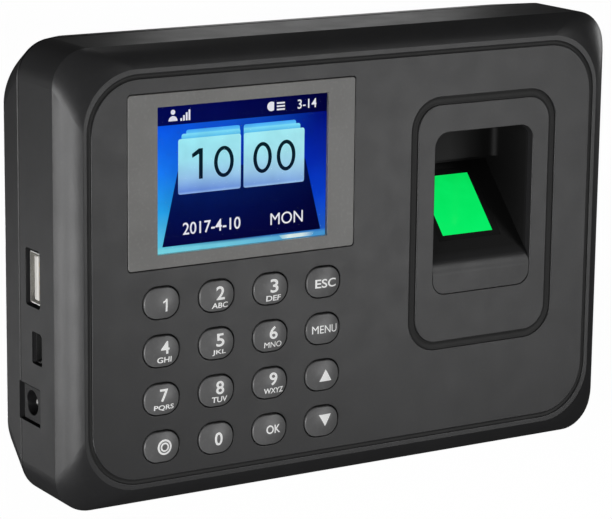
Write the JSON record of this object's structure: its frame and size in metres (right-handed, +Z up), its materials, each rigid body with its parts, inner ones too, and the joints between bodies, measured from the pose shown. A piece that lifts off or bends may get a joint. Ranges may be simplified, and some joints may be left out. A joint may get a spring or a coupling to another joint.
{
  "type": "fingerprint scanner terminal",
  "caption": "Wall-hung fingerprint attendance terminal with a colour screen, a domed keypad, a sloped finger bay, side data and power sockets and a steel wall plate.",
  "frame": {"origin": "centre of the wall plate's back face, on the wall", "axes": "+X to the right seen from the front, +Y into the wall, +Z up; the front panel faces -Y, 36 mm in front of the wall"},
  "size_m": [0.1646, 0.0369, 0.1158],
  "materials": {
    "case_plastic": "fine spark-eroded texture, satin",
    "bay_plastic": "fine texture, satin",
    "window_acrylic": "grey printed border behind clear acrylic",
    "lcd_surface": "lit colour screen",
    "key_plastic": "satin with printed legends",
    "silicone": "translucent grey silicone",
    "tape": "foam tape",
    "board": "solder mask over glass fibre",
    "chip": "moulded epoxy",
    "socket_plastic": "natural nylon",
    "white_plastic": "white",
    "black_plastic": "black",
    "flex": "polyimide film",
    "wire": "insulated wire",
    "steel": "plain",
    "plated_shell": "bright plated",
    "screw_steel": "black zinc",
    "sensor_glass": "lit green from below"
  },
  "bodies": {
    "terminal": {"front_shell": "case_plastic", "back_shell": "case_plastic", "display_window": "window_acrylic", "window_tape": "tape", "lcd_glass": "lcd_surface", "lcd_backlight": "steel", "lcd_flex": "flex", "lcd_bracket": "black_plastic", "lcd_bracket_screws": "screw_steel", "keypad_screws": "screw_steel", "bay_screws": "screw_steel", "main_board_screws": "screw_steel", "keypad_mat": "silicone", "keypad_board": "board", "snap_domes": "steel", "keypad_connector": "black_plastic", "finger_bay": "bay_plastic", "sensor_frame": "black_plastic", "sensor_prism": "sensor_glass", "sensor_housing": "black_plastic", "camera_board": "board", "light_board": "board", "sensor_cable": "flex", "main_board": "board", "main_chips": "chip", "board_sockets": "socket_plastic", "coin_cell_holder": "black_plastic", "coin_cell": "steel", "usb_a_shell": "plated_shell", "usb_a_tongue": "white_plastic", "mini_usb_shell": "plated_shell", "mini_usb_tongue": "black_plastic", "dc_jack": "black_plastic", "dc_jack_pin": "plated_shell", "speaker": "chip", "speaker_wires": "wire", "case_screws": "screw_steel", "wall_plate": "steel", "lock_screw": "screw_steel"},
    "key_1": {"key_1": "key_plastic"},
    "key_2": {"key_2": "key_plastic"},
    "key_3": {"key_3": "key_plastic"},
    "key_escape": {"key_escape": "key_plastic"},
    "key_4": {"key_4": "key_plastic"},
    "key_5": {"key_5": "key_plastic"},
    "key_6": {"key_6": "key_plastic"},
    "key_menu": {"key_menu": "key_plastic"},
    "key_7": {"key_7": "key_plastic"},
    "key_8": {"key_8": "key_plastic"},
    "key_9": {"key_9": "key_plastic"},
    "key_up": {"key_up": "key_plastic"},
    "key_power": {"key_power": "key_plastic"},
    "key_0": {"key_0": "key_plastic"},
    "key_ok": {"key_ok": "key_plastic"},
    "key_down": {"key_down": "key_plastic"}
  },
  "joints": [
    {"name": "key_1_press", "type": "slide", "parent": "terminal", "child": "key_1", "axis": [0, 1, 0], "range_m": [0, 0.001], "stiffness_N_per_m": 900, "springref_m": -0.0003},
    {"name": "key_2_press", "type": "slide", "parent": "terminal", "child": "key_2", "axis": [0, 1, 0], "range_m": [0, 0.001], "stiffness_N_per_m": 900, "springref_m": -0.0003},
    {"name": "key_3_press", "type": "slide", "parent": "terminal", "child": "key_3", "axis": [0, 1, 0], "range_m": [0, 0.001], "stiffness_N_per_m": 900, "springref_m": -0.0003},
    {"name": "key_escape_press", "type": "slide", "parent": "terminal", "child": "key_escape", "axis": [0, 1, 0], "range_m": [0, 0.001], "stiffness_N_per_m": 900, "springref_m": -0.0003},
    {"name": "key_4_press", "type": "slide", "parent": "terminal", "child": "key_4", "axis": [0, 1, 0], "range_m": [0, 0.001], "stiffness_N_per_m": 900, "springref_m": -0.0003},
    {"name": "key_5_press", "type": "slide", "parent": "terminal", "child": "key_5", "axis": [0, 1, 0], "range_m": [0, 0.001], "stiffness_N_per_m": 900, "springref_m": -0.0003},
    {"name": "key_6_press", "type": "slide", "parent": "terminal", "child": "key_6", "axis": [0, 1, 0], "range_m": [0, 0.001], "stiffness_N_per_m": 900, "springref_m": -0.0003},
    {"name": "key_menu_press", "type": "slide", "parent": "terminal", "child": "key_menu", "axis": [0, 1, 0], "range_m": [0, 0.001], "stiffness_N_per_m": 900, "springref_m": -0.0003},
    {"name": "key_7_press", "type": "slide", "parent": "terminal", "child": "key_7", "axis": [0, 1, 0], "range_m": [0, 0.001], "stiffness_N_per_m": 900, "springref_m": -0.0003},
    {"name": "key_8_press", "type": "slide", "parent": "terminal", "child": "key_8", "axis": [0, 1, 0], "range_m": [0, 0.001], "stiffness_N_per_m": 900, "springref_m": -0.0003},
    {"name": "key_9_press", "type": "slide", "parent": "terminal", "child": "key_9", "axis": [0, 1, 0], "range_m": [0, 0.001], "stiffness_N_per_m": 900, "springref_m": -0.0003},
    {"name": "key_up_press", "type": "slide", "parent": "terminal", "child": "key_up", "axis": [0, 1, 0], "range_m": [0, 0.001], "stiffness_N_per_m": 900, "springref_m": -0.0003},
    {"name": "key_power_press", "type": "slide", "parent": "terminal", "child": "key_power", "axis": [0, 1, 0], "range_m": [0, 0.001], "stiffness_N_per_m": 900, "springref_m": -0.0003},
    {"name": "key_0_press", "type": "slide", "parent": "terminal", "child": "key_0", "axis": [0, 1, 0], "range_m": [0, 0.001], "stiffness_N_per_m": 900, "springref_m": -0.0003},
    {"name": "key_ok_press", "type": "slide", "parent": "terminal", "child": "key_ok", "axis": [0, 1, 0], "range_m": [0, 0.001], "stiffness_N_per_m": 900, "springref_m": -0.0003},
    {"name": "key_down_press", "type": "slide", "parent": "terminal", "child": "key_down", "axis": [0, 1, 0], "range_m": [0, 0.001], "stiffness_N_per_m": 900, "springref_m": -0.0003}
  ]
}
